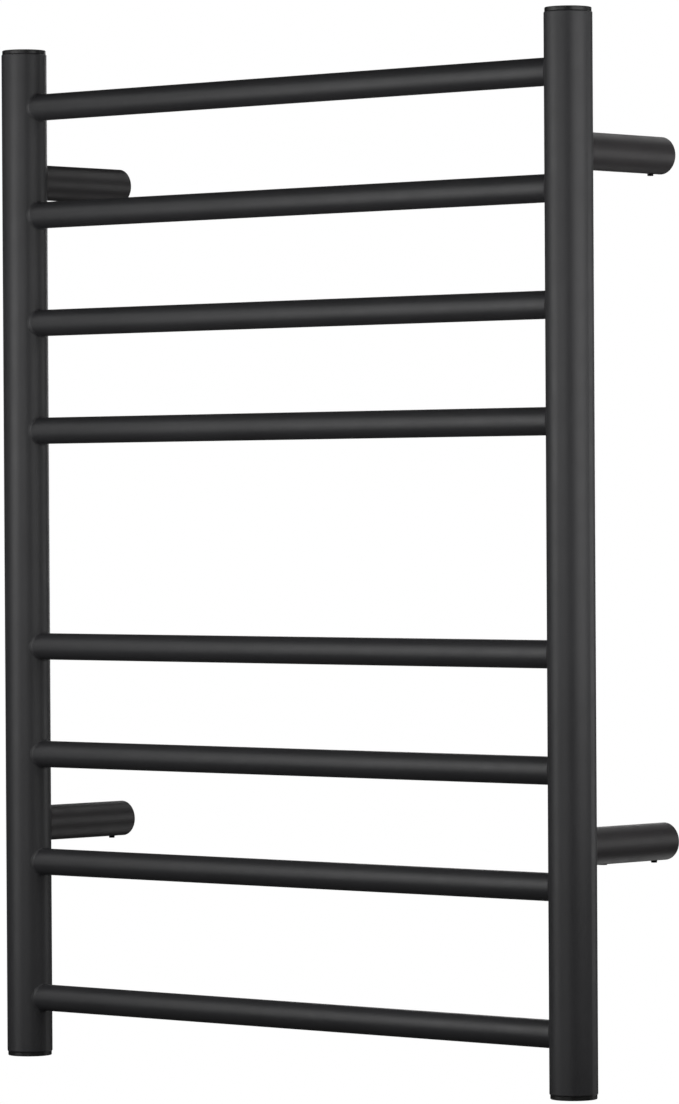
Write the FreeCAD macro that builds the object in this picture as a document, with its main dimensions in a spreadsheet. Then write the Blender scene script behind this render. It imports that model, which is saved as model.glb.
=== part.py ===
import FreeCAD, Part
import math
import os
import Sketcher
from FreeCAD import Rotation, Vector

# A wall-mounted heated towel ladder, in millimetres. +Z is up and the front faces -Y.
# The wall is the plane Y = 0. The origin is the centre of the four wall fixings.

# Driving dimensions: alias, value, meaning.
SIZES = [
    ("post_spacing", 564.0, "between the axes of the two posts"),
    ("post_diameter", 36.0, "outside of the post tube"),
    ("post_wall", 1.5, "wall of the post tube"),
    ("rim_round", 1.2, "rounding of the post's outer rims"),
    ("top_margin", 43.1, "highest bar to the upper end of the post"),
    ("bottom_margin", 43.5, "lowest bar to the lower end of the post"),
    ("bar_pitch", 85.7, "between neighbouring bars"),
    ("towel_gap", 171.6, "between the fourth and the fifth bar"),
    ("lowest_gap", 108.3, "between the two lowest bars"),
    ("bar_diameter", 21.0, "outside of the bar tube"),
    ("bar_wall", 1.2, "wall of the bar tube"),
    ("bar_hole", 13.0, "cable hole in the post behind each bar"),
    ("wall_gap", 108.0, "post axis to the wall"),
    ("fixing_height", 512.0, "between the upper and the lower brackets"),
    ("fixing_rise", 181.5, "lower brackets above the lower end of the post"),
    ("bracket_diameter", 28.0, "outside of the bracket sleeve"),
    ("bracket_wall", 2.0, "wall of the bracket sleeve"),
    ("bracket_edge", 0.5, "chamfer of the sleeve's wall end"),
    ("lead_hole", 16.0, "hole from the right post into the lower right bracket"),
    ("boss_length", 20.0, "wall boss, along its axis"),
    ("boss_clearance", 0.3, "radial play of the boss in the sleeve"),
    ("boss_flat", 2.6, "depth of the flat under the boss"),
    ("boss_collar", 6.0, "full-round length of the boss at the wall"),
    ("boss_edge", 0.8, "chamfer of the boss's front edge"),
    ("fixing_hole", 4.5, "wall-screw holes in the boss"),
    ("cable_hole", 8.0, "cable passage through the boss"),
    ("screw_inset", 13.0, "set screw axis from the wall"),
    ("screw_diameter", 5.0, "set screw"),
    ("screw_clearance", 0.15, "radial play of the set screw"),
    ("screw_length", 4.5, "set screw, tip included"),
    ("screw_proud", 1.5, "how far the set screw stands out"),
    ("screw_socket", 2.5, "hexagon socket across its flats"),
    ("socket_depth", 2.2, "depth of the hexagon socket"),
    ("screw_edge", 0.5, "chamfer of the set screw's ends"),
    ("cap_inset", 0.65, "step from the post's outside to the cap's head"),
    ("cap_rise", 3.0, "thickness of the cap's head"),
    ("cap_round", 0.6, "rounding of the cap's head"),
    ("plug_depth", 11.0, "cap's plug inside the post"),
    ("plug_clearance", 0.3, "radial play of the plug in the post"),
    ("plug_wall", 2.5, "wall of the hollow plug"),
    ("seal_section", 2.0, "O-ring section"),
    ("seal_depth", 5.0, "O-ring below the cap's head"),
    ("cable_diameter", 4.5, "heating cable"),
    ("cable_overrun", 6.0, "cable's upright runs beyond the post axis"),
    ("cable_bend", 20.0, "bend radius of the heating cable"),
    ("joint_diameter", 7.0, "cold joint and end seal"),
    ("joint_length", 28.0, "cold joint and end seal"),
    ("joint_edge", 0.7, "chamfer of the cold joint and the end seal"),
    ("joint_inset", 12.0, "cold joint and end seal, from the end of the bar"),
    ("lead_diameter", 5.0, "cold lead"),
    ("lead_bend", 20.0, "bend radius of the cold lead into the bracket"),
    ("lead_corner", 13.0, "bend radius of the cold lead out of the lowest bar"),
    ("lead_offset", 9.0, "cold lead in front of the post axis"),
    ("lead_headroom", 7.0, "cold lead's axis below the top of the sleeve's bore"),
    ("cutout_diameter", 9.0, "thermal cut-out"),
    ("cutout_length", 24.0, "thermal cut-out"),
    ("cutout_round", 1.0, "rounding of the thermal cut-out"),
    ("cutout_rise", 46.0, "foot of the cut-out above the lowest bar"),
    ("button_reach", 34.5, "button axis from the post axis"),
    ("button_diameter", 7.0, "push button"),
    ("button_proud", 0.3, "how far the button stands out"),
    ("button_travel", 1.0, "stroke of the button"),
    ("button_clearance", 0.3, "play around the button"),
    ("button_flange", 0.8, "width and thickness of the button's flange"),
    ("button_round", 0.3, "rounding of the button's face"),
    ("button_stem", 2.0, "stem above the flange"),
    ("switch_width", 12.0, "switch body, across the bracket"),
    ("switch_length", 12.0, "switch body, along the bracket"),
    ("switch_gap", 2.5, "from the switch body to the terminal block"),
    ("inner_gap", 0.7, "gap between the lead and the switch body"),
    ("block_length", 13.5, "terminal block, along the bracket"),
    ("wire_diameter", 3.0, "wires of the switch and the earth lug"),
    ("stud_reach", 4.5, "earth stud from the terminal block"),
    ("stud_diameter", 4.0, "earth stud"),
    ("nut_flats", 7.0, "earth nut across its flats"),
    ("nut_height", 3.2, "earth nut"),
    ("lug_diameter", 8.0, "ring of the earth lug"),
    ("lug_thickness", 1.0, "ring of the earth lug"),
    ("grommet_wall", 1.0, "wall of the cable grommet"),
    ("grommet_flange", 1.5, "flange of the cable grommet"),
    ("seat_gap", 0.05, "gap between seated inner pieces"),
]
SIZE = {alias: value for alias, value, meaning in SIZES}

LOWER_BARS = 4
UPPER_BARS = 4
SIDES = {"left": -1, "right": 1}
LEVELS = {"lower": -1, "upper": 1}

ROUNDING_SHARE = 0.8   # most of the post's wall that its rim rounding may take
CHAMFER_SHARE = 0.6    # most of the boss's rim that its chamfer may take
BLOCK_SHARE = 0.67     # terminal block's width, of the bracket's bore
WELL_SPREAD = 0.31     # terminal wells off the block's middle, of its width
WELL_SHARES = (0.3, 0.7)   # rows of terminal wells along the block
TURN_SHARE = 0.7       # where the cold lead is upright again, of the cut-out's rise
OVERCUT = 1.0          # how far a cut runs past the material

POST_LENGTH = (
    f"(Sizes.bottom_margin + Sizes.lowest_gap + {LOWER_BARS + UPPER_BARS - 3} * Sizes.bar_pitch"
    " + Sizes.towel_gap + Sizes.top_margin)"
)
POST_FOOT = "(-Sizes.fixing_rise - Sizes.fixing_height / 2)"
POST_BORE = "(Sizes.post_diameter - 2 * Sizes.post_wall)"
BAR_BORE = "(Sizes.bar_diameter - 2 * Sizes.bar_wall)"
BORE_RADIUS = "(Sizes.bracket_diameter / 2 - Sizes.bracket_wall)"
BOSS_RADIUS = f"({BORE_RADIUS} - Sizes.boss_clearance)"
BOSS_FLAT = f"({BOSS_RADIUS} - Sizes.boss_flat)"
SCREW_HOLE = "(Sizes.screw_diameter + 2 * Sizes.screw_clearance)"
FIXING_OFFSET = f"((Sizes.cable_hole / 2 + {BOSS_RADIUS}) / 2)"
BOSS_RIM = f"({BOSS_RADIUS} - {FIXING_OFFSET} - Sizes.fixing_hole / 2)"
LEAD_RISE = f"({BORE_RADIUS} - Sizes.lead_headroom)"
FLANGE_RADIUS = "(Sizes.button_diameter / 2 + Sizes.button_flange)"
BUTTON_AXIS = "(-Sizes.wall_gap + Sizes.button_reach)"
SWITCH_END = f"({BUTTON_AXIS} + Sizes.switch_length / 2)"
BLOCK_END = f"({SWITCH_END} + Sizes.switch_gap + Sizes.block_length)"


def chord(radius, half_width):
    """Expression for how far a chord of this half width lies from the circle's centre."""
    return f"sqrt({radius} ^ 2 - ({half_width}) ^ 2)"


def bar_rise(number):
    """Expression for a bar's height above the lower end of the post; bar 1 is the lowest."""
    terms = ["Sizes.bottom_margin"]
    if number > 1:
        terms.append("Sizes.lowest_gap")
    if number > LOWER_BARS:
        terms.append("Sizes.towel_gap")
    pitches = max(0, number - 2) - (1 if number > LOWER_BARS else 0)
    terms.append(f"{pitches} * Sizes.bar_pitch")
    return "(" + " + ".join(terms) + ")"


def size_sheet(doc):
    sheet = doc.addObject("Spreadsheet::Sheet", "Sizes")
    for row, (alias, value, meaning) in enumerate(SIZES, start=1):
        sheet.set(f"A{row}", meaning)
        sheet.set(f"B{row}", str(value))
        sheet.setAlias(f"B{row}", alias)
    doc.recompute()
    return sheet


def bind(feature, **expressions):
    for name, expression in expressions.items():
        feature.setExpression(name, expression)


def place(item, x="0", y="0", z="0", turn=None):
    """Put a sub-part at a point given by expressions, turned by (axis, degrees) if asked."""
    if turn:
        item.Placement = FreeCAD.Placement(Vector(), Rotation(*turn))
    for axis, expression in zip("xyz", (x, y, z)):
        item.setExpression(f".Placement.Base.{axis}", expression)


# Sketches and features

def new_body(doc, name):
    body = doc.addObject("PartDesign::Body", name)
    body.Label = name
    return body


def new_sketch(body, plane):
    sketch = body.newObject("Sketcher::SketchObject", f"{body.Name}_sketch")
    support = [item for item in body.Origin.OriginFeatures if item.Role == plane]
    sketch.AttachmentSupport = [(support[0], "")]
    sketch.MapMode = "FlatFace"
    return sketch


def fix_point(sketch, geometry, point, x, y):
    for kind, expression in (("DistanceX", x), ("DistanceY", y)):
        index = sketch.addConstraint(Sketcher.Constraint(kind, -1, 1, geometry, point, 1.0))
        sketch.setExpression(f"Constraints[{index}]", expression)


def add_circle(sketch, diameter, x="0", y="0"):
    geometry = sketch.addGeometry(Part.Circle(Vector(1, 1, 0), Vector(0, 0, 1), 1.0), False)
    fix_point(sketch, geometry, 3, x, y)
    index = sketch.addConstraint(Sketcher.Constraint("Diameter", geometry, 2.0))
    sketch.setExpression(f"Constraints[{index}]", diameter)


def add_polygon(sketch, corners):
    """Closed outline through corners, each a pair of expressions, in order round the shape."""
    count = len(corners)
    spread = [Vector(math.cos(math.tau * i / count), math.sin(math.tau * i / count), 0)
              for i in range(count)]
    lines = [sketch.addGeometry(Part.LineSegment(spread[i], spread[(i + 1) % count]), False)
             for i in range(count)]
    for i, line in enumerate(lines):
        following = lines[(i + 1) % count]
        sketch.addConstraint(Sketcher.Constraint("Coincident", line, 2, following, 1))
    for line, (x, y) in zip(lines, corners):
        fix_point(sketch, line, 1, x, y)


def add_rectangle(sketch, x_low, x_high, y_low, y_high):
    add_polygon(sketch, [(x_low, y_low), (x_high, y_low), (x_high, y_high), (x_low, y_high)])


def add_hexagon(sketch, flats):
    corners = []
    for step in range(6):
        angle = math.radians(60 * step)
        reach = f"({flats}) / sqrt(3)"
        corners.append((f"{reach} * {math.cos(angle):.9f}", f"{reach} * {math.sin(angle):.9f}"))
    add_polygon(sketch, corners)


def pad(sketch, length, both_ways=False, reverse=False):
    body = sketch.getParent()
    feature = body.newObject("PartDesign::Pad", f"{body.Name}_pad")
    feature.Profile = sketch
    feature.SideType = "Symmetric" if both_ways else "One side"
    feature.Reversed = reverse
    bind(feature, Length=length)
    body.Document.recompute()
    return feature


def pocket(sketch, depth=None, both_ways=False, reverse=False):
    """Cut a sketch out of its body: to a depth, or right through where none is given."""
    body = sketch.getParent()
    before = body.Shape.Volume
    feature = body.newObject("PartDesign::Pocket", f"{body.Name}_pocket")
    feature.Profile = sketch
    feature.SideType = "Symmetric" if both_ways else "One side"
    feature.Reversed = reverse
    if depth:
        bind(feature, Length=depth)
    else:
        feature.Type = "ThroughAll"
    body.Document.recompute()
    if body.Shape.Volume >= before:
        raise RuntimeError(f"{feature.Name} cut nothing")
    return feature


def revolve(sketch):
    body = sketch.getParent()
    feature = body.newObject("PartDesign::Revolution", f"{body.Name}_revolution")
    feature.Profile = sketch
    feature.ReferenceAxis = (sketch, ["V_Axis"])
    feature.Angle = 360
    body.Document.recompute()
    return feature


def round_edges(body, kind, picked, **expressions):
    """Fillet or chamfer the tip's edges for which picked(edge) is true."""
    tip = body.Tip
    names = [f"Edge{index}" for index, edge in enumerate(tip.Shape.Edges, start=1) if picked(edge)]
    if not names:
        raise RuntimeError(f"no edge to dress on {body.Name}")
    feature = body.newObject(f"PartDesign::{kind}", f"{body.Name}_{kind.lower()}")
    feature.Base = (tip, names)
    bind(feature, **expressions)
    body.Document.recompute()
    return feature


def is_ring(edge, radius, axis="z", level=None):
    """True for a whole circle of this radius, at this level along the axis if one is given."""
    if not isinstance(edge.Curve, Part.Circle) or abs(edge.Curve.Radius - radius) > 1e-4:
        return False
    return level is None or abs(getattr(edge.Curve.Center, axis) - level) < 1e-4


# The welded rack

def post(doc, side):
    """Upright tube, from its own lower end; the cable holes face the other post."""
    body = new_body(doc, f"{side}_post")
    section = new_sketch(body, "XY_Plane")
    add_circle(section, "Sizes.post_diameter")
    add_circle(section, POST_BORE)
    pad(section, POST_LENGTH)
    radius = SIZE["post_diameter"] / 2
    rim = f"min(Sizes.rim_round; {ROUNDING_SHARE} * Sizes.post_wall)"
    round_edges(body, "Fillet", lambda edge: is_ring(edge, radius), Radius=rim)
    holes = new_sketch(body, "YZ_Plane")
    for number in range(1, LOWER_BARS + UPPER_BARS + 1):
        add_circle(holes, "Sizes.bar_hole", "0", bar_rise(number))
    pocket(holes, reverse=side == "left")
    if side == "right":
        lead = new_sketch(body, "XZ_Plane")
        add_circle(lead, "Sizes.lead_hole", "0", "Sizes.fixing_rise")
        pocket(lead)
    place(body, f"{SIDES[side]} * Sizes.post_spacing / 2", "-Sizes.wall_gap", POST_FOOT)
    return body


def bar(doc, number):
    """Rail tube, its ends shaped to the posts."""
    body = new_body(doc, f"bar_{number}")
    section = new_sketch(body, "YZ_Plane")
    add_circle(section, "Sizes.bar_diameter")
    add_circle(section, BAR_BORE)
    pad(section, "Sizes.post_spacing", both_ways=True)
    saddles = new_sketch(body, "XY_Plane")
    for sign in SIDES.values():
        add_circle(saddles, "Sizes.post_diameter", f"{sign} * Sizes.post_spacing / 2")
    pocket(saddles, both_ways=True)
    place(body, "0", "-Sizes.wall_gap", f"{POST_FOOT} + {bar_rise(number)}")
    return body


def corner_place(item, side, level, y="0", z="0", **options):
    """Place a piece at one of the four fixings, with y and z offsets from the wall fixing."""
    place(item, f"{SIDES[side]} * Sizes.post_spacing / 2", y,
          f"{LEVELS[level]} * Sizes.fixing_height / 2 + {z}", **options)


def bracket(doc, side, level):
    """Stand-off sleeve from the wall to the post, tapped below near the wall."""
    body = new_body(doc, f"bracket_{level}_{side}")
    section = new_sketch(body, "XZ_Plane")
    add_circle(section, "Sizes.bracket_diameter")
    add_circle(section, f"2 * {BORE_RADIUS}")
    pad(section, "Sizes.wall_gap")
    outside = SIZE["bracket_diameter"] / 2
    round_edges(body, "Chamfer", lambda edge: is_ring(edge, outside, "y", 0.0),
                Size="Sizes.bracket_edge")
    saddle = new_sketch(body, "XY_Plane")
    add_circle(saddle, "Sizes.post_diameter", "0", "-Sizes.wall_gap")
    pocket(saddle, both_ways=True)
    below = new_sketch(body, "XY_Plane")
    add_circle(below, SCREW_HOLE, "0", "-Sizes.screw_inset")
    if (side, level) == ("right", "lower"):
        add_circle(below, "Sizes.button_diameter + 2 * Sizes.button_clearance", "0", BUTTON_AXIS)
    pocket(below)
    corner_place(body, side, level)
    return body


def end_cap(doc, side, end):
    """Plug with a head that lies on the rim of the post; the lower ones are turned over."""
    body = new_body(doc, f"end_cap_{end}_{side}")
    profile = new_sketch(body, "XZ_Plane")
    head = "Sizes.post_diameter / 2 - Sizes.cap_inset"
    plug = f"{POST_BORE} / 2 - Sizes.plug_clearance"
    groove = f"{POST_BORE} / 2 - Sizes.seal_section"
    groove_top = "-Sizes.seal_depth + Sizes.seal_section / 2"
    groove_foot = "-Sizes.seal_depth - Sizes.seal_section / 2"
    hollow = f"{POST_BORE} / 2 - Sizes.seal_section - Sizes.plug_wall"
    add_polygon(profile, [
        ("0", "Sizes.cap_rise"), (head, "Sizes.cap_rise"), (head, "0"), (plug, "0"),
        (plug, groove_top), (groove, groove_top), (groove, groove_foot), (plug, groove_foot),
        (plug, "-Sizes.plug_depth"), (hollow, "-Sizes.plug_depth"), (hollow, "0"), ("0", "0"),
    ])
    revolve(profile)
    radius = SIZE["post_diameter"] / 2 - SIZE["cap_inset"]
    rise = SIZE["cap_rise"]
    round_edges(body, "Fillet", lambda edge: is_ring(edge, radius, "z", rise),
                Radius="Sizes.cap_round")
    stand_on_end(body, side, end)
    return body


def stand_on_end(item, side, end):
    """Place an item, made for the upper end of a post, on either end of it."""
    x = f"{SIDES[side]} * Sizes.post_spacing / 2"
    if end == "top":
        place(item, x, "-Sizes.wall_gap", f"{POST_FOOT} + {POST_LENGTH}")
    else:
        place(item, x, "-Sizes.wall_gap", POST_FOOT, turn=(Vector(1, 0, 0), 180))


def cap_seal(doc, side, end):
    """O-ring in the groove of the cap, just inside the bore of the post."""
    body = new_body(doc, f"cap_seal_{end}_{side}")
    section = new_sketch(body, "XZ_Plane")
    middle = f"{POST_BORE} / 2 - Sizes.seal_section / 2"
    add_circle(section, "Sizes.seal_section - 2 * Sizes.seat_gap", middle, "-Sizes.seal_depth")
    revolve(section)
    stand_on_end(body, side, end)
    return body


# Wall fixings

def wall_boss(doc, side, level):
    """Boss screwed to the wall: cable passage, two fixing holes, and a flat for the set screw."""
    body = new_body(doc, f"wall_boss_{level}_{side}")
    section = new_sketch(body, "XZ_Plane")
    add_circle(section, f"2 * {BOSS_RADIUS}")
    add_circle(section, "Sizes.cable_hole")
    for sign in (-1, 1):
        add_circle(section, "Sizes.fixing_hole", f"{sign} * {FIXING_OFFSET}")
    pad(section, "Sizes.boss_length")
    radius = SIZE["bracket_diameter"] / 2 - SIZE["bracket_wall"] - SIZE["boss_clearance"]
    front = -SIZE["boss_length"]
    round_edges(body, "Chamfer", lambda edge: is_ring(edge, radius, "y", front),
                Size=f"min(Sizes.boss_edge; {CHAMFER_SHARE} * {BOSS_RIM})")
    flat = new_sketch(body, "YZ_Plane")
    add_rectangle(flat, f"-Sizes.boss_length - {OVERCUT}", "-Sizes.boss_collar",
                  "-Sizes.bracket_diameter / 2", f"-{BOSS_FLAT}")
    pocket(flat, both_ways=True)
    corner_place(body, side, level)
    return body


def set_screw(doc, side, level):
    """Grub screw, point up: hexagon socket below, chamfered point above."""
    body = new_body(doc, f"set_screw_{level}_{side}")
    section = new_sketch(body, "XY_Plane")
    add_circle(section, "Sizes.screw_diameter")
    pad(section, "Sizes.screw_length")
    radius = SIZE["screw_diameter"] / 2
    round_edges(body, "Chamfer", lambda edge: is_ring(edge, radius),
                Size="Sizes.screw_edge")
    socket = new_sketch(body, "XY_Plane")
    add_hexagon(socket, "Sizes.screw_socket")
    pocket(socket, "Sizes.socket_depth", reverse=True)
    corner_place(body, side, level, "-Sizes.screw_inset",
                 "-Sizes.bracket_diameter / 2 - Sizes.screw_proud")
    return body


# The lower right bracket's contents

SWITCH_FOOT = f"(-{chord(BORE_RADIUS, 'Sizes.switch_width / 2')} + Sizes.seat_gap)"
SWITCH_TOP = f"({LEAD_RISE} - Sizes.lead_diameter / 2 - Sizes.inner_gap)"
FLANGE_FOOT = f"(-{chord(BORE_RADIUS, FLANGE_RADIUS)} + Sizes.button_clearance)"
BUTTON_FOOT = "(-Sizes.bracket_diameter / 2 - Sizes.button_proud)"
FLANGE_TOP = f"({FLANGE_FOOT} + Sizes.button_flange)"
STEM_TOP = f"({FLANGE_TOP} + Sizes.button_stem)"
BLOCK_WIDTH = f"({BLOCK_SHARE} * 2 * {BORE_RADIUS})"
BLOCK_FOOT = f"(-{chord(BORE_RADIUS, BLOCK_WIDTH + ' / 2')} + Sizes.seat_gap)"
BLOCK_TOP = f"({LEAD_RISE} + Sizes.lead_diameter / 2 - Sizes.seat_gap)"
WELL_PLACES = [f"{sign} * {WELL_SPREAD} * {BLOCK_WIDTH}" for sign in (-1, 1)]
WELL_ROWS = [f"-{share} * Sizes.block_length" for share in WELL_SHARES]


def switch_body(doc):
    """Switch housing on the floor of the sleeve, with a stepped bore for the button."""
    body = new_body(doc, "switch_body")
    outline = new_sketch(body, "XZ_Plane")
    add_rectangle(outline, "-Sizes.switch_width / 2", "Sizes.switch_width / 2",
                  SWITCH_FOOT, SWITCH_TOP)
    pad(outline, "Sizes.switch_length", both_ways=True)
    play = "(Sizes.button_travel + Sizes.button_clearance)"
    for radius, top in ((FLANGE_RADIUS, FLANGE_TOP), ("Sizes.button_diameter / 2", STEM_TOP)):
        bore = new_sketch(body, "XZ_Plane")
        add_rectangle(bore, "0", f"{radius} + Sizes.button_clearance",
                      "-Sizes.bracket_diameter / 2", f"{top} + {play}")
        groove = body.newObject("PartDesign::Groove", "switch_body_groove")
        groove.Profile = bore
        groove.ReferenceAxis = (bore, ["V_Axis"])
        groove.Angle = 360
        doc.recompute()
    corner_place(body, "right", "lower", BUTTON_AXIS)
    return body


def power_button(doc):
    """Push button with a flange that keeps it in the sleeve, and a short stem."""
    body = new_body(doc, "power_button")
    profile = new_sketch(body, "XZ_Plane")
    radius = "Sizes.button_diameter / 2"
    add_polygon(profile, [
        ("0", BUTTON_FOOT), (radius, BUTTON_FOOT), (radius, FLANGE_FOOT),
        (FLANGE_RADIUS, FLANGE_FOOT), (FLANGE_RADIUS, FLANGE_TOP), (radius, FLANGE_TOP),
        (radius, STEM_TOP), ("0", STEM_TOP),
    ])
    revolve(profile)
    reach = SIZE["button_diameter"] / 2
    foot = -SIZE["bracket_diameter"] / 2 - SIZE["button_proud"]
    round_edges(body, "Fillet", lambda edge: is_ring(edge, reach, "z", foot),
                Radius="Sizes.button_round")
    corner_place(body, "right", "lower", BUTTON_AXIS)
    return body


def terminal_block(doc):
    """Insulating block with two screw wells, seated on the floor of the sleeve."""
    body = new_body(doc, "terminal_block")
    outline = new_sketch(body, "XZ_Plane")
    add_rectangle(outline, f"-{BLOCK_WIDTH} / 2", f"{BLOCK_WIDTH} / 2", BLOCK_FOOT, BLOCK_TOP)
    pad(outline, "Sizes.block_length")
    wells = new_sketch(body, "XY_Plane")
    for x in WELL_PLACES:
        for y in WELL_ROWS:
            add_circle(wells, "Sizes.wire_diameter", x, y)
    pocket(wells, f"{BLOCK_TOP}", reverse=True)
    corner_place(body, "right", "lower", BLOCK_END)
    return body


def terminal_screws(doc):
    """Four screws in the wells of the terminal block."""
    screws = []
    for x in WELL_PLACES:
        for y in WELL_ROWS:
            screw = doc.addObject("Part::Cylinder", "terminal_screw")
            bind(screw, Radius="Sizes.wire_diameter / 2 - Sizes.seat_gap",
                 Height=f"{BLOCK_TOP} - Sizes.inner_gap")
            place(screw, x, y)
            screws.append(screw)
    group = doc.addObject("Part::Compound", "terminal_screws")
    group.Label = "terminal_screws"
    group.Links = screws
    corner_place(group, "right", "lower", BLOCK_END)
    return group


def switch_lead(doc):
    """Short wire from the switch to the terminal block."""
    body = new_body(doc, "switch_lead")
    section = new_sketch(body, "XZ_Plane")
    add_circle(section, "Sizes.wire_diameter")
    pad(section, "Sizes.switch_gap", reverse=True)
    corner_place(body, "right", "lower", SWITCH_END, f"{SWITCH_TOP} - Sizes.wire_diameter")
    return body


STUD_FOOT = f"{chord(BORE_RADIUS, 'Sizes.stud_diameter / 2')}"
LUG_BACK = f"({BLOCK_WIDTH} / 2)"


def sideways_rod(doc, name, diameter, x_low, x_high, bore=None, hexagonal=False):
    """Rod, ring or nut along X in the lower right sleeve, on the axis of the earth stud."""
    body = new_body(doc, name)
    section = new_sketch(body, "YZ_Plane")
    if hexagonal:
        add_hexagon(section, diameter)
    else:
        add_circle(section, diameter)
    if bore:
        add_circle(section, bore)
    pad(section, f"{x_high} - {x_low}")
    place(body, f"Sizes.post_spacing / 2 + {x_low}", f"{BLOCK_END} + Sizes.stud_reach",
          "-Sizes.fixing_height / 2")
    return body


def earth_parts(doc):
    """Stud welded inside the sleeve, ring lug and nut on it."""
    bore = "Sizes.stud_diameter + 2 * Sizes.seat_gap"
    nut_back = f"({LUG_BACK} - Sizes.lug_thickness)"
    nut_front = f"({nut_back} - Sizes.nut_height)"
    stud = sideways_rod(doc, "earth_stud", "Sizes.stud_diameter",
                        f"({nut_front} - Sizes.lug_thickness)", f"({STUD_FOOT} - Sizes.seat_gap)")
    nut = sideways_rod(doc, "earth_nut", "Sizes.nut_flats", nut_front, nut_back, bore, True)
    lug = sideways_rod(doc, "earth_lug", "Sizes.lug_diameter", nut_back, LUG_BACK, bore)
    tail = new_sketch(lug, "XY_Plane")
    add_rectangle(tail, "0", "Sizes.lug_thickness", "-Sizes.stud_reach",
                  "-Sizes.stud_diameter / 2 - Sizes.lug_thickness")
    pad(tail, "Sizes.wire_diameter", both_ways=True)
    return [stud, nut, lug]


def cable_grommet(doc):
    """Bush in the cable passage of the lower right boss, its flange on the front of the boss."""
    body = new_body(doc, "cable_grommet")
    profile = new_sketch(body, "XY_Plane")
    outside = "Sizes.cable_hole / 2 - Sizes.seat_gap"
    inside = "Sizes.cable_hole / 2 - Sizes.grommet_wall"
    rim = "Sizes.cable_hole / 2 + Sizes.grommet_wall"
    lip = "-Sizes.boss_length - Sizes.grommet_flange"
    add_polygon(profile, [
        (inside, "0"), (outside, "0"), (outside, "-Sizes.boss_length"),
        (rim, "-Sizes.boss_length"), (rim, lip), (inside, lip),
    ])
    revolve(profile)
    corner_place(body, "right", "lower")
    return body


# Cables

def rounded_path(points, radii):
    """Wire of straight runs through the points, with a tangent arc at each inner point."""
    edges = []
    start = points[0]
    for before, corner, after, radius in zip(points, points[1:], points[2:], radii):
        back = (before - corner).normalize()
        ahead = (after - corner).normalize()
        half_turn = (math.pi - back.getAngle(ahead)) / 2
        tangent = radius * math.tan(half_turn)
        first = corner + back * tangent
        last = corner + ahead * tangent
        inward = (back + ahead).normalize()
        middle = corner + inward * (radius / math.cos(half_turn) - radius)
        edges.append(Part.LineSegment(start, first).toShape())
        edges.append(Part.Arc(first, middle, last).toShape())
        start = last
    edges.append(Part.LineSegment(start, points[-1]).toShape())
    return Part.Wire(edges)


def swept_cable(doc, name, points, radii, diameter):
    """Round cable along a path; its volume has to be its section times its length."""
    path = rounded_path(points, radii)
    circle = Part.Circle(points[0], points[1] - points[0], diameter / 2)
    solid = path.makePipeShell([Part.Wire([circle.toShape()])], True, False)
    expected = math.pi * diameter ** 2 / 4 * path.Length
    if abs(solid.Volume / expected - 1) > 0.001:
        raise RuntimeError(f"{name} has the wrong volume")
    print(f"{name}: {path.Length:.0f} mm long, bend radii {min(radii):g} to {max(radii):g} mm")
    cable = doc.addObject("Part::Feature", name)
    cable.Label = name
    cable.Shape = solid
    return cable


def sleeve_reach():
    """X of the outer end of a cold joint or end seal, from the centre."""
    return SIZE["post_spacing"] / 2 - SIZE["post_diameter"] / 2 - SIZE["joint_inset"]


def heating_cable(doc, bars):
    """Through every bar in turn, from the cold joint in bar 1 to the end seal in the last."""
    y = -SIZE["wall_gap"]
    turn_x = SIZE["post_spacing"] / 2 + SIZE["cable_overrun"]
    end_x = sleeve_reach() - SIZE["joint_length"]
    points = [Vector(end_x, y, bars[0].Placement.Base.z)]
    for lower, upper, sign in zip(bars, bars[1:], [-1, 1] * len(bars)):
        points.append(Vector(sign * turn_x, y, lower.Placement.Base.z))
        points.append(Vector(sign * turn_x, y, upper.Placement.Base.z))
    points.append(Vector(end_x, y, bars[-1].Placement.Base.z))
    radii = [SIZE["cable_bend"]] * (len(points) - 2)
    return swept_cable(doc, "heating_cable", points, radii, SIZE["cable_diameter"])


def cable_sleeve(doc, name, number):
    """Moulded sleeve on the end of the heating cable, inside the right end of a bar."""
    body = new_body(doc, name)
    section = new_sketch(body, "YZ_Plane")
    add_circle(section, "Sizes.joint_diameter")
    pad(section, "Sizes.joint_length", reverse=True)
    radius = SIZE["joint_diameter"] / 2
    round_edges(body, "Chamfer", lambda edge: is_ring(edge, radius),
                Size="Sizes.joint_edge")
    reach = "Sizes.post_spacing / 2 - Sizes.post_diameter / 2 - Sizes.joint_inset"
    place(body, reach, "-Sizes.wall_gap", f"{POST_FOOT} + {bar_rise(number)}")
    return body


def thermal_cutout(doc):
    """Round cut-out on the cold lead, inside the right post."""
    body = new_body(doc, "thermal_cutout")
    section = new_sketch(body, "XY_Plane")
    add_circle(section, "Sizes.cutout_diameter")
    pad(section, "Sizes.cutout_length")
    radius = SIZE["cutout_diameter"] / 2
    round_edges(body, "Fillet", lambda edge: is_ring(edge, radius),
                Radius="Sizes.cutout_round")
    place(body, "Sizes.post_spacing / 2", "-Sizes.wall_gap - Sizes.lead_offset",
          f"{POST_FOOT} + Sizes.bottom_margin + Sizes.cutout_rise")
    return body


def cutout_lead(doc, joint, cutout):
    """Cold lead from the joint in bar 1, out of the bar and up to the foot of the cut-out."""
    base = joint.Placement.Base
    top = cutout.Placement.Base
    bend = Vector(top.x, base.y, base.z)
    under = Vector(top.x, top.y, base.z + TURN_SHARE * SIZE["cutout_rise"])
    radii = [SIZE["lead_corner"], SIZE["lead_bend"]]
    return swept_cable(doc, "cutout_lead", [base, bend, under, top], radii, SIZE["lead_diameter"])


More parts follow.
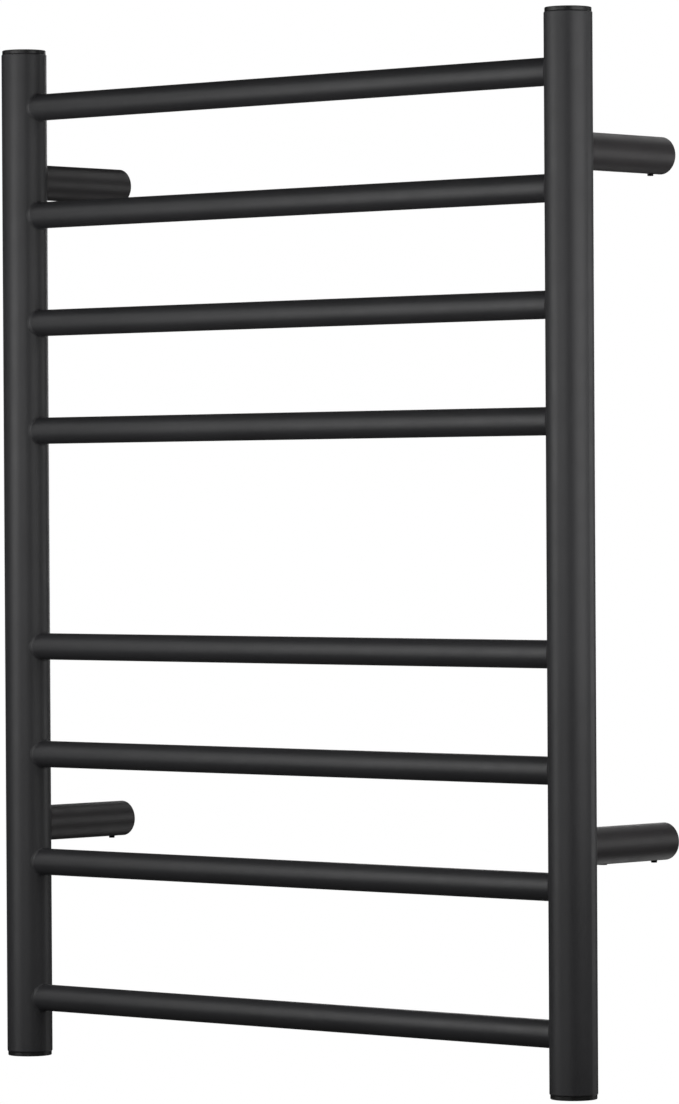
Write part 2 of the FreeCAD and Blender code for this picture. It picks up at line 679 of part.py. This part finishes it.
def cold_lead(doc, cutout, block):
    """Cold lead from the head of the cut-out, up the post and back into the bracket."""
    start = cutout.Placement.Base + Vector(0, 0, SIZE["cutout_length"])
    bore_radius = SIZE["bracket_diameter"] / 2 - SIZE["bracket_wall"]
    run_z = block.Placement.Base.z + bore_radius - SIZE["lead_headroom"]
    end_y = block.Placement.Base.y - SIZE["block_length"]
    points = [start, Vector(start.x, start.y, run_z), Vector(start.x, end_y, run_z)]
    return swept_cable(doc, "cold_lead", points, [SIZE["lead_bend"]], SIZE["lead_diameter"])


def check(doc, subparts):
    for item in doc.Objects:
        if "Invalid" in item.State or "Error" in item.State:
            raise RuntimeError(f"{item.Name} did not compute: {item.State}")
    for item in subparts:
        if item.Shape.isNull() or not item.Shape.isValid() or not item.Shape.Solids:
            raise RuntimeError(f"{item.Label} has no valid solid")


def export(subparts):
    os.makedirs("parts", exist_ok=True)
    for item in subparts:
        item.Shape.exportStep(f"parts/{item.Label}.step")
        print(f"{item.Label}: {item.Shape.Volume / 1000:.2f} cm3")


def build():
    doc = FreeCAD.newDocument("towel_warmer")
    size_sheet(doc)
    subparts = [post(doc, side) for side in SIDES]
    bars = [bar(doc, number) for number in range(1, LOWER_BARS + UPPER_BARS + 1)]
    subparts += bars
    for level in LEVELS:
        for side in SIDES:
            subparts += [piece(doc, side, level) for piece in (bracket, wall_boss, set_screw)]
    for end in ("top", "bottom"):
        for side in SIDES:
            subparts += [piece(doc, side, end) for piece in (end_cap, cap_seal)]
    joint = cable_sleeve(doc, "cold_joint", 1)
    seal = cable_sleeve(doc, "end_seal", LOWER_BARS + UPPER_BARS)
    cutout = thermal_cutout(doc)
    block = terminal_block(doc)
    subparts += [joint, seal, cutout, block, terminal_screws(doc)]
    subparts += [switch_body(doc), power_button(doc), switch_lead(doc)]
    subparts += earth_parts(doc)
    subparts.append(cable_grommet(doc))
    doc.recompute()
    subparts.append(heating_cable(doc, bars))
    subparts.append(cutout_lead(doc, joint, cutout))
    subparts.append(cold_lead(doc, cutout, block))
    doc.recompute()
    check(doc, subparts)
    export(subparts)


build()
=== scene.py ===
import math

import bmesh
import bpy
from mathutils import Matrix, Vector


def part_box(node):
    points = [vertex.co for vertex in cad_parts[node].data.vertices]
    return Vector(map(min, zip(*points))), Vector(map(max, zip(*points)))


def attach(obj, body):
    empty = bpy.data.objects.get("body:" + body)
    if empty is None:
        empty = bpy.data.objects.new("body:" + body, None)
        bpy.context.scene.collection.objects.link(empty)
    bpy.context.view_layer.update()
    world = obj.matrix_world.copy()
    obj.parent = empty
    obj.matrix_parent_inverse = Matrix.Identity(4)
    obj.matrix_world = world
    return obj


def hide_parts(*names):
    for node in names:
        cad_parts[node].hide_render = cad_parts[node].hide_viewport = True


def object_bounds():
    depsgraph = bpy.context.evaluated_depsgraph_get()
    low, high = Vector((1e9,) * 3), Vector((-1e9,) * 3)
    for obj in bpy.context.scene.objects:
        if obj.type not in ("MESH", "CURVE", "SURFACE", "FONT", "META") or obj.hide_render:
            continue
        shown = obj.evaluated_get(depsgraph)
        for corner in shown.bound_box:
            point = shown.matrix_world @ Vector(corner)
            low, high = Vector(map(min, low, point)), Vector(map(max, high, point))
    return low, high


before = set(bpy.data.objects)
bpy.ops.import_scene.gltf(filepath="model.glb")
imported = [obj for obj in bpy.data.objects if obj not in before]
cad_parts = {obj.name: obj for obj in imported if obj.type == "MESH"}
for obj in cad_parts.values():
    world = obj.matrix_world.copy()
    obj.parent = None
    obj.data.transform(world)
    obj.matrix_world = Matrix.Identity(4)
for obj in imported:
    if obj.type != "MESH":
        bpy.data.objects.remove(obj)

MM = 0.001

cad_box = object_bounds()

# The camera: its angle round the rack, and where its axis meets the plane of the posts.
AZIMUTH = math.radians(42.0)
ELEVATION = math.radians(0.40)
ROLL = math.radians(-0.33)
DISTANCE = 4.493
AIM_SIDE = 0.0398
AIM_RISE = 0.4012
FOCAL_MM = 191.3
SENSOR_MM = 36.0
CLIP_START = 0.05

# The stage: floor, surround, and soft boxes as (name, place, (width, height), watts), in metres.
FLOOR_RADIUS = 5.0
FLOOR_DROP = 0.75
FLOOR_GLOW = 0.62
FLOOR_EDGES = 128
SURROUND_LIGHT = 0.036
SURROUND_SEEN = 1.0
STRIP = (0.65, 0.8)
PANEL = (1.2, 1.0)
SIDE_PANEL = (0.7, 0.8)
REAR_STRIP = (0.8, 0.5)
LAMPS = [
    ("front left high", (-0.35, -1.05, 0.35), STRIP, 2.7),
    ("front left low", (-0.60, -1.05, -0.10), STRIP, 2.4),
    ("front right high", (0.35, -1.05, 0.35), STRIP, 1.35),
    ("front right low", (0.35, -1.05, -0.10), STRIP, 1.15),
    ("right side", (0.88, -0.11, 0.15), SIDE_PANEL, 3.2),
    ("left side high", (-1.96, -1.24, 1.02), PANEL, 3.3),
    ("rear right", (1.25, 2.06, -0.04), PANEL, 5.0),
    ("rear left", (-1.25, 2.06, 0.30), PANEL, 7.0),
    ("rear high", (0.0, 0.93, 0.90), REAR_STRIP, 1.2),
    ("rear low", (0.0, 0.93, -0.98), REAR_STRIP, 0.9),
]

# Details that the CAD leaves plain. SCREW_HUB closes a screw's ends, as a share of its radius.
WELD_LEG = 1.3 * MM
BRACKET_WELD_LEG = 1.1 * MM
WELD_SINK = 0.3 * MM
WELD_STEPS = 7
WELD_AROUND = 96
THREAD_PITCH = 0.8 * MM
THREAD_DEPTH = 0.4 * MM
SOCKET_FLATS = 2.5 * MM
SOCKET_DEPTH = 2.2 * MM
SCREW_EDGE = 0.5 * MM
SCREW_AROUND = 48
SCREW_ROWS = 64
SCREW_HUB = 0.02

# Colours, each as (darkest, lightest).
COAT = ((0.030, 0.030, 0.032), (0.036, 0.036, 0.0385))
WARM_COAT = ((0.034, 0.032, 0.0335), (0.040, 0.037, 0.0385))
CAP_BLACK = ((0.006,) * 3, (0.012,) * 3)
OXIDE_BLACK = ((0.012,) * 3, (0.04, 0.038, 0.036))
RUBBER_BLACK = ((0.012,) * 3, (0.022,) * 3)
SLEEVE_BLACK = ((0.015,) * 3, (0.028,) * 3)
SWITCH_BLACK = ((0.018,) * 3, (0.03,) * 3)
BUTTON_BLACK = ((0.003,) * 3, (0.006,) * 3)
CABLE_RED = ((0.20, 0.012, 0.010), (0.30, 0.022, 0.016))
LEAD_GREY = ((0.17,) * 3, (0.24, 0.24, 0.25))
BLOCK_CREAM = ((0.62, 0.58, 0.48), (0.72, 0.69, 0.60))
ZINC = ((0.42, 0.43, 0.45), (0.60, 0.61, 0.62))
TERMINAL_METAL = ((0.60, 0.52, 0.34), (0.78, 0.70, 0.50))
CUTOUT_METAL = ((0.45,) * 3, (0.62,) * 3)
FLOOR_WHITE = ((0.80, 0.80, 0.80), (0.84, 0.84, 0.83))
WHITE = (1, 1, 1, 1)

# Roughness, each as (glossiest, dullest).
COAT_GLOSS = (0.40, 0.47)
CAP_GLOSS = (0.30, 0.40)
OXIDE_GLOSS = (0.32, 0.5)
METAL_GLOSS = (0.25, 0.42)
PLASTIC_GLOSS = (0.4, 0.55)
SLEEVE_GLOSS = (0.5, 0.65)
BUTTON_GLOSS = (0.5, 0.6)
RUBBER_GLOSS = (0.55, 0.75)
FLOOR_GLOSS = (0.7, 0.8)

# Noise, each as (features per metre, detail).
COAT_CLOUD = (14, 3)
COAT_PATCHES = (60, 3)
COAT_WAVES = (320, 2)
COAT_PEEL = (1500, 3)
CAP_TONE = (90, 3)
CAP_SWIRLS = (300, 2)
CAP_PATCHES = (400, 2)
OXIDE_TONE = (900, 3)
OXIDE_PATCHES = (1200, 2)
OXIDE_MARKS = (3000, 2)
METAL_TONE = (500, 3)
METAL_MARKS = (2500, 3)
PLASTIC_TONE = (180, 3)
PLASTIC_GRAIN = (700, 3)
PLASTIC_PATCHES = (700, 2)
FLOOR_TONE = (2, 2)
FLOOR_PATCHES = (5, 2)

# Bump, each as (distance in metres, strength).
WAVES_BUMP = (0.06 * MM, 0.4)
PEEL_BUMP = (0.05 * MM, 0.6)
SWIRLS_BUMP = (0.01 * MM, 0.3)
OXIDE_BUMP = (0.01 * MM, 0.5)
METAL_BUMP = (0.02 * MM, 0.6)
PLASTIC_BUMP = (0.03 * MM, 0.4)

# How tool marks run: the noise is drawn out along the axes that have the small numbers.
EVEN = (1, 1, 1)
RINGS_ROUND_Y = (0.1, 1, 0.1)
RINGS_ROUND_Z = (0.1, 0.1, 1)
LINES_ALONG_Y = (1, 0.1, 1)

# The part of the noise's range that is used; what lies outside it is cut off.
NOISE_LOW = 0.3
NOISE_HIGH = 0.7

GLOSSY_IOR = 1.5
MOULDED_IOR = 1.48
COAT_SPECULAR = 0.5
OXIDE_METALLIC = 0.85

SIDES = {"left": -1, "right": 1}
LEVELS = ("lower", "upper")
ENDS = ("top", "bottom")
BARS = range(1, 9)
CORNERS = [f"{level}_{side}" for level in LEVELS for side in SIDES]


def middle(node):
    low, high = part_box(node)
    return (low + high) / 2


def extent(node):
    low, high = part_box(node)
    return high - low


POST_RADIUS = extent("left_post").x / 2
BAR_RADIUS = extent("bar_1").z / 2
SLEEVE_RADIUS = extent("bracket_upper_left").z / 2


# Materials

class Shader:
    """A new node material with a Principled shader, and short ways to add and join nodes."""

    def __init__(self, name):
        self.material = bpy.data.materials.new(name)
        self.material.use_nodes = True
        self.tree = self.material.node_tree
        self.shader = self.tree.nodes["Principled BSDF"]
        self.place = self.node("ShaderNodeTexCoord").outputs["Object"]

    def node(self, kind):
        return self.tree.nodes.new(kind)

    def join(self, output, target):
        self.tree.links.new(output, target)

    def set(self, **values):
        for name, value in values.items():
            self.shader.inputs[name.replace("_", " ")].default_value = value

    def noise(self, kind, stretch=EVEN):
        """A noise value; stretch multiplies its features per metre along each axis."""
        scale, detail = kind
        mapping = self.node("ShaderNodeMapping")
        mapping.inputs["Scale"].default_value = stretch
        self.join(self.place, mapping.inputs["Vector"])
        texture = self.node("ShaderNodeTexNoise")
        texture.inputs["Scale"].default_value = scale
        texture.inputs["Detail"].default_value = detail
        self.join(mapping.outputs["Vector"], texture.inputs["Vector"])
        return texture.outputs["Fac"]

    def spread(self, value, low, high):
        """Map a noise value onto a range of numbers."""
        ranged = self.node("ShaderNodeMapRange")
        for name, number in (("From Min", NOISE_LOW), ("From Max", NOISE_HIGH),
                             ("To Min", low), ("To Max", high)):
            ranged.inputs[name].default_value = number
        self.join(value, ranged.inputs["Value"])
        return ranged.outputs["Result"]

    def ramp(self, value, colours):
        """Map a value onto a colour between two colours."""
        ramp = self.node("ShaderNodeValToRGB")
        for element, colour in zip(ramp.color_ramp.elements, colours):
            element.color = (*colour, 1)
        self.join(value, ramp.inputs["Fac"])
        return ramp.outputs["Color"]

    def tone(self, kind, colours):
        """Colour that noise carries from the darkest to the lightest."""
        return self.ramp(self.spread(self.noise(kind), 0, 1), colours)

    def bump(self, layers):
        """Stack bump layers, each (height, (distance in metres, strength))."""
        below = None
        for height, (distance, strength) in layers:
            bump = self.node("ShaderNodeBump")
            bump.inputs["Distance"].default_value = distance
            bump.inputs["Strength"].default_value = strength
            self.join(height, bump.inputs["Height"])
            if below:
                self.join(below, bump.inputs["Normal"])
            below = bump.outputs["Normal"]
        self.join(below, self.shader.inputs["Normal"])

    def finish(self, colour, roughness):
        self.join(colour, self.shader.inputs["Base Color"])
        self.join(roughness, self.shader.inputs["Roughness"])
        return self.material


def powder_coat(name, colours):
    """Satin powder coat: fine orange peel, faint cloudiness, and a little variation in gloss."""
    made = Shader(name)
    made.set(IOR=GLOSSY_IOR, Specular_IOR_Level=COAT_SPECULAR)
    made.bump([(made.noise(COAT_WAVES), WAVES_BUMP), (made.noise(COAT_PEEL), PEEL_BUMP)])
    return made.finish(made.tone(COAT_CLOUD, colours),
                       made.spread(made.noise(COAT_PATCHES), *COAT_GLOSS))


def gloss_black(name):
    """Moulded gloss plastic with faint swirls."""
    made = Shader(name)
    made.set(IOR=GLOSSY_IOR)
    made.bump([(made.noise(CAP_SWIRLS), SWIRLS_BUMP)])
    return made.finish(made.tone(CAP_TONE, CAP_BLACK),
                       made.spread(made.noise(CAP_PATCHES), *CAP_GLOSS))


def black_oxide(name):
    """Black-oxide steel with fine turning marks."""
    made = Shader(name)
    made.set(Metallic=OXIDE_METALLIC)
    made.bump([(made.noise(OXIDE_MARKS, RINGS_ROUND_Z), OXIDE_BUMP)])
    return made.finish(made.tone(OXIDE_TONE, OXIDE_BLACK),
                       made.spread(made.noise(OXIDE_PATCHES), *OXIDE_GLOSS))


def turned_metal(name, colours, stretch):
    """Bare metal with tool marks."""
    made = Shader(name)
    made.set(Metallic=1.0)
    marks = made.noise(METAL_MARKS, stretch)
    made.bump([(marks, METAL_BUMP)])
    return made.finish(made.tone(METAL_TONE, colours), made.spread(marks, *METAL_GLOSS))


def moulded(name, colours, gloss=PLASTIC_GLOSS):
    """Moulded plastic or rubber with a fine grain."""
    made = Shader(name)
    made.set(IOR=MOULDED_IOR)
    made.bump([(made.noise(PLASTIC_GRAIN), PLASTIC_BUMP)])
    return made.finish(made.tone(PLASTIC_TONE, colours),
                       made.spread(made.noise(PLASTIC_PATCHES), *gloss))


def dress(material, nodes):
    for node in nodes:
        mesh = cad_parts[node].data
        mesh.materials.clear()
        mesh.materials.append(material)


def dress_frame(coat, warm_coat):
    ends = [f"{end}_{side}" for end in ENDS for side in SIDES]
    dress(coat, ["left_post", "right_post"] + [f"bar_{number}" for number in BARS])
    dress(warm_coat, [f"bracket_{corner}" for corner in CORNERS])
    dress(gloss_black("cap gloss"), [f"end_cap_{end}" for end in ends])
    dress(moulded("seal rubber", RUBBER_BLACK, RUBBER_GLOSS),
          [f"cap_seal_{end}" for end in ends] + ["cable_grommet"])
    dress(turned_metal("zinc boss", ZINC, RINGS_ROUND_Y),
          [f"wall_boss_{corner}" for corner in CORNERS])
    dress(moulded("red silicone", CABLE_RED), ["heating_cable"])
    dress(moulded("sleeve black", SLEEVE_BLACK, SLEEVE_GLOSS), ["cold_joint", "end_seal"])
    dress(moulded("grey silicone", LEAD_GREY), ["cutout_lead", "cold_lead", "switch_lead"])
    dress(turned_metal("plated cut-out", CUTOUT_METAL, RINGS_ROUND_Z), ["thermal_cutout"])
    dress(moulded("terminal block", BLOCK_CREAM), ["terminal_block"])
    dress(turned_metal("plated terminals", TERMINAL_METAL, LINES_ALONG_Y),
          ["terminal_screws", "earth_stud", "earth_nut", "earth_lug"])
    dress(moulded("switch black", SWITCH_BLACK), ["switch_body"])
    dress(moulded("button black", BUTTON_BLACK, BUTTON_GLOSS), ["power_button"])


# Pieces that the CAD leaves out

def add_piece(name, mesh, material, body, smooth=True):
    mesh.materials.append(material)
    mesh.polygons.foreach_set("use_smooth", [smooth] * len(mesh.polygons))
    piece = bpy.data.objects.new(name, mesh)
    bpy.context.scene.collection.objects.link(piece)
    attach(piece, body)
    return piece


def band(count, here, over):
    """Faces between two rings of this many points, that start at these point numbers."""
    return [(here + k, here + (k + 1) % count, over + (k + 1) % count, over + k)
            for k in range(count)]


def solid_mesh(name, points, faces):
    """Mesh with all its faces turned outwards."""
    mesh = bpy.data.meshes.new(name)
    mesh.from_pydata(points, [], faces)
    shell = bmesh.new()
    shell.from_mesh(mesh)
    bmesh.ops.recalc_face_normals(shell, faces=shell.faces)
    shell.to_mesh(mesh)
    shell.free()
    return mesh


def ring_mesh(name, rings):
    """Closed ring-shaped mesh: each ring is a loop of points, joined to the next and round."""
    count = len(rings[0])
    faces = []
    for i in range(len(rings)):
        faces += band(count, i * count, ((i + 1) % len(rings)) * count)
    return solid_mesh(name, [point for ring in rings for point in ring], faces)


def weld_rings(radius, leg):
    """Rings of a concave weld between a tube of this radius, along +X, and the post behind it.

    They start on the tube, curve out onto the post and come back through the joint, inside
    both. X is measured from the axis of the post.
    """
    def on_post(reach, angle, sink=0.0):
        y, z = reach * math.cos(angle), reach * math.sin(angle)
        return Vector((math.sqrt((POST_RADIUS - sink) ** 2 - y * y), y, z))

    angles = [math.tau * k / WELD_AROUND for k in range(WELD_AROUND)]
    rings = []
    for step in range(WELD_STEPS + 1):
        t = step / WELD_STEPS
        ring = []
        for angle in angles:
            corner = on_post(radius, angle)
            start = corner + Vector((leg, 0, 0))
            end = on_post(radius + leg, angle)
            ring.append(start * (1 - t) ** 2 + corner * 2 * t * (1 - t) + end * t ** 2)
        rings.append(ring)
    rings.append([on_post(radius - WELD_SINK, angle, WELD_SINK) for angle in angles])
    return rings


def weld(name, radius, leg, matrix, material):
    rings = [[matrix @ point for point in ring] for ring in weld_rings(radius, leg)]
    add_piece(name, ring_mesh(name, rings), material, "rack")


def add_welds(coat, warm_coat):
    """Welds round the ends of the rails and brackets; each is made facing +X, then turned."""
    for side, sign in SIDES.items():
        post = middle(f"{side}_post")

        def facing(turn, height):
            spot = Matrix.Translation((post.x, post.y, height))
            return spot @ Matrix.Rotation(turn, 4, "Z")

        inwards = 0.0 if sign < 0 else math.pi
        for number in BARS:
            weld(f"weld_bar_{number}_{side}", BAR_RADIUS, WELD_LEG,
                 facing(inwards, middle(f"bar_{number}").z), coat)
        for level in LEVELS:
            weld(f"weld_bracket_{level}_{side}", SLEEVE_RADIUS, BRACKET_WELD_LEG,
                 facing(math.pi / 2, middle(f"bracket_{level}_{side}").z), warm_coat)


def grub_screw_mesh(name, low, high):
    """Threaded grub screw between two levels: hexagon socket below, blunt point above."""
    centre = (low + high) / 2
    radius = (high.x - low.x) / 2
    length = high.z - low.z
    around = SCREW_AROUND
    points, faces = [], []

    def add_ring(z, reach):
        for k in range(around):
            angle = math.tau * k / around
            out = reach(angle)
            points.append((centre.x + out * math.cos(angle), centre.y + out * math.sin(angle), z))

    def hexagon(angle):
        off_flat = (angle + math.pi / 6) % (math.pi / 3) - math.pi / 6
        return SOCKET_FLATS / 2 / math.cos(off_flat)

    def thread(rise):
        limit = radius - max(0.0, SCREW_EDGE - min(rise, length - rise))

        def reach(angle):
            phase = (rise / THREAD_PITCH - angle / math.tau) % 1.0
            return min(limit, radius - THREAD_DEPTH * abs(2 * phase - 1))
        return reach

    def hub(angle):
        return SCREW_HUB * radius

    add_ring(low.z + SOCKET_DEPTH, hub)
    add_ring(low.z + SOCKET_DEPTH, hexagon)
    add_ring(low.z, hexagon)
    for row in range(SCREW_ROWS + 1):
        rise = length * row / SCREW_ROWS
        add_ring(low.z + rise, thread(rise))
    add_ring(high.z, hub)
    last = len(points) - around
    for start in range(0, last, around):
        faces += band(around, start, start + around)
    faces.append(tuple(reversed(range(around))))
    faces.append(tuple(range(last, last + around)))
    return solid_mesh(name, points, faces)


def add_grub_screws():
    material = black_oxide("black oxide")
    for corner in CORNERS:
        node = f"set_screw_{corner}"
        mesh = grub_screw_mesh(f"grub_{corner}", *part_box(node))
        piece = add_piece(f"grub_screw_{corner}", mesh, material, f"screw_{corner}",
                          smooth=False)
        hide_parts(node)


# Stage, light and camera

def add_floor():
    """Pale floor disc, well below the hung rack; it glows evenly and throws no light back."""
    mesh = bpy.data.meshes.new("floor")
    disc = bmesh.new()
    bmesh.ops.create_circle(disc, cap_ends=True, radius=FLOOR_RADIUS, segments=FLOOR_EDGES)
    disc.to_mesh(mesh)
    disc.free()
    floor = bpy.data.objects.new("floor", mesh)
    floor.location.z = cad_box[0].z - FLOOR_DROP
    floor.visible_diffuse = floor.visible_glossy = False
    made = Shader("pale floor")
    made.set(Emission_Strength=FLOOR_GLOW, Emission_Color=WHITE)
    mesh.materials.append(made.finish(made.ramp(made.noise(FLOOR_TONE), FLOOR_WHITE),
                                      made.spread(made.noise(FLOOR_PATCHES), *FLOOR_GLOSS)))
    bpy.context.scene.collection.objects.link(floor)


def add_lamps():
    """Soft boxes that face the middle of the rack and aren't seen themselves."""
    target = Vector((0, middle("left_post").y, (cad_box[0].z + cad_box[1].z) / 2))
    for name, spot, size, power in LAMPS:
        light = bpy.data.lights.new(name, "AREA")
        light.shape = "RECTANGLE"
        light.size, light.size_y = size
        light.energy = power
        lamp = bpy.data.objects.new(name, light)
        lamp.location = spot
        lamp.rotation_euler = (target - lamp.location).to_track_quat("-Z", "Y").to_euler()
        lamp.visible_camera = False
        bpy.context.scene.collection.objects.link(lamp)


def add_world():
    """White surround; it lights the rack less than it shows behind it."""
    world = bpy.data.worlds.new("surround")
    world.use_nodes = True
    bpy.context.scene.world = world
    nodes, links = world.node_tree.nodes, world.node_tree.links
    background = nodes["Background"]
    background.inputs["Color"].default_value = WHITE
    seen = nodes.new("ShaderNodeLightPath")
    strength = nodes.new("ShaderNodeMapRange")
    strength.inputs["To Min"].default_value = SURROUND_LIGHT
    strength.inputs["To Max"].default_value = SURROUND_SEEN
    links.new(seen.outputs["Is Camera Ray"], strength.inputs["Value"])
    links.new(strength.outputs["Result"], background.inputs["Strength"])


def add_camera():
    """Long-lens view from the front right, at the height of the rack's middle."""
    ahead = Vector((-math.sin(AZIMUTH) * math.cos(ELEVATION),
                    math.cos(AZIMUTH) * math.cos(ELEVATION), -math.sin(ELEVATION)))
    right = Vector((math.cos(AZIMUTH), math.sin(AZIMUTH), 0))
    up = right.cross(ahead)
    tilted = math.cos(ROLL) * right + math.sin(ROLL) * up
    upright = math.cos(ROLL) * up - math.sin(ROLL) * right
    foot = Vector((0, middle("left_post").y, cad_box[0].z))
    spot = foot + Vector((0, 0, AIM_RISE)) + AIM_SIDE * right - DISTANCE * ahead
    camera = bpy.data.cameras.new("camera")
    camera.lens = FOCAL_MM
    camera.sensor_width = SENSOR_MM
    camera.clip_start = CLIP_START
    holder = bpy.data.objects.new("camera", camera)
    turn = Matrix((tilted, upright, -ahead)).transposed().to_4x4()
    holder.matrix_world = Matrix.Translation(spot) @ turn
    bpy.context.scene.collection.objects.link(holder)
    bpy.context.scene.camera = holder


def build():
    coat = powder_coat("black powder coat", COAT)
    warm = powder_coat("warm powder coat", WARM_COAT)
    dress_frame(coat, warm)
    add_welds(coat, warm)
    add_grub_screws()
    add_floor()
    add_world()
    add_lamps()
    bpy.context.scene.view_settings.view_transform = "Standard"
    add_camera()


build()
